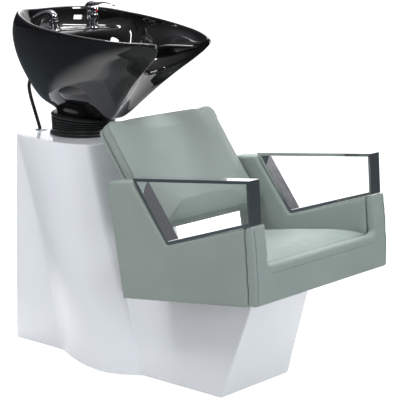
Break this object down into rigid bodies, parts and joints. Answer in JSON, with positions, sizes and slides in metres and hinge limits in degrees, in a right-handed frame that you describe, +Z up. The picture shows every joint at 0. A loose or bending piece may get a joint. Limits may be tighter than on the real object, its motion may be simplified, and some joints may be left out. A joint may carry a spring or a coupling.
{
  "type": "shampoo backwash unit",
  "caption": "Salon shampoo backwash unit: tilting glazed basin with neck rest, mixer and pull-out handset on a moulded pedestal, with a fixed upholstered armchair.",
  "frame": {"origin": "centre line of the steel floor plate, on the floor, 375 mm in front of the basin's tilt axis towards the client's feet", "axes": "+Z up, +Y from the client's feet towards the rear of the basin, +X to the client's left side"},
  "size_m": [0.605, 1.1618, 1.0743],
  "materials": {
    "white_gelcoat": "polished gelcoat on glass fibre",
    "black_glaze": "gloss glaze",
    "grey_leather": "satin leatherette over foam",
    "chrome": "polished",
    "painted_steel": "satin powder coat",
    "zinc_steel": "zinc plated",
    "black_rubber": "satin",
    "plywood": "raw",
    "white_plastic": "moulded",
    "black_plastic": "moulded",
    "red_plastic": "moulded",
    "braided_steel": "steel braid over rubber",
    "brass": "machined"
  },
  "bodies": {
    "base": {"base_shell": "white_gelcoat", "rear_access_panel": "white_gelcoat", "access_screw_lower": "zinc_steel", "access_screw_upper": "zinc_steel", "steel_frame": "painted_steel", "floor_anchor_front": "zinc_steel", "floor_anchor_rear": "zinc_steel", "seat_bolt_right": "zinc_steel", "seat_bolt_left": "zinc_steel", "seat_board": "plywood", "seat_rear_rail": "plywood", "seat_cushion": "grey_leather", "front_panel": "grey_leather", "side_panel_right": "grey_leather", "side_panel_left": "grey_leather", "backrest_cushion": "grey_leather", "backrest_board": "grey_leather", "backrest_bolt_right": "zinc_steel", "backrest_bolt_left": "zinc_steel", "arm_frame_right": "chrome", "arm_frame_left": "chrome", "bellows_base_ring": "black_rubber", "bellows": "black_rubber", "tilt_bracket": "painted_steel", "bracket_bolt_right": "zinc_steel", "bracket_bolt_left": "zinc_steel", "friction_washer_right": "black_plastic", "friction_washer_left": "black_plastic", "tilt_pin": "zinc_steel", "tilt_pin_nut": "zinc_steel", "waste_hose": "white_plastic", "bottle_trap": "white_plastic", "waste_outlet_pipe": "white_plastic", "hot_supply_valve": "brass", "cold_supply_valve": "brass", "hot_supply_hose": "braided_steel", "cold_supply_hose": "braided_steel", "shower_hose": "black_rubber", "hose_gland": "chrome"},
    "basin": {"basin_bowl": "black_glaze", "tilt_ear_right": "painted_steel", "tilt_ear_left": "painted_steel", "ear_bolt_right": "zinc_steel", "ear_bolt_left": "zinc_steel", "waste_body": "chrome", "waste_nut": "black_plastic", "mixer_flange": "chrome", "mixer_body": "chrome", "mixer_fixing_nut": "brass", "handset_holder": "chrome"},
    "mixer_cap": {"mixer_head": "chrome", "index_button": "red_plastic"},
    "lever": {"mixer_lever": "chrome"},
    "handset": {"handset_body": "chrome", "spray_face": "black_plastic", "hose_nut": "chrome", "handset_hose_tail": "black_rubber"},
    "strainer": {"hair_strainer": "chrome"}
  },
  "joints": [
    {"name": "basin_tilt", "type": "hinge", "parent": "base", "child": "basin", "pos_m": [0, 0.375, 0.705], "axis": [1, 0, 0], "range_deg": [-8, 6], "deforming": ["bellows", "shower_hose", "waste_hose", "hot_supply_hose", "cold_supply_hose"]},
    {"name": "mixer_swivel", "type": "hinge", "parent": "basin", "child": "mixer_cap", "pos_m": [0.106, 0.437, 1.038], "axis": [0, 0, 1], "range_deg": [-45, 45]},
    {"name": "lever_lift", "type": "hinge", "parent": "mixer_cap", "child": "lever", "pos_m": [0.106, 0.4555, 1.0548], "axis": [-1, 0, 0], "range_deg": [0, 25]},
    {"name": "handset_lift", "type": "slide", "parent": "basin", "child": "handset", "axis": [0, 0, 1], "range_m": [0, 0.06]},
    {"name": "strainer_lift", "type": "slide", "parent": "basin", "child": "strainer", "axis": [0, 0, 1], "range_m": [0, 0.04]}
  ]
}
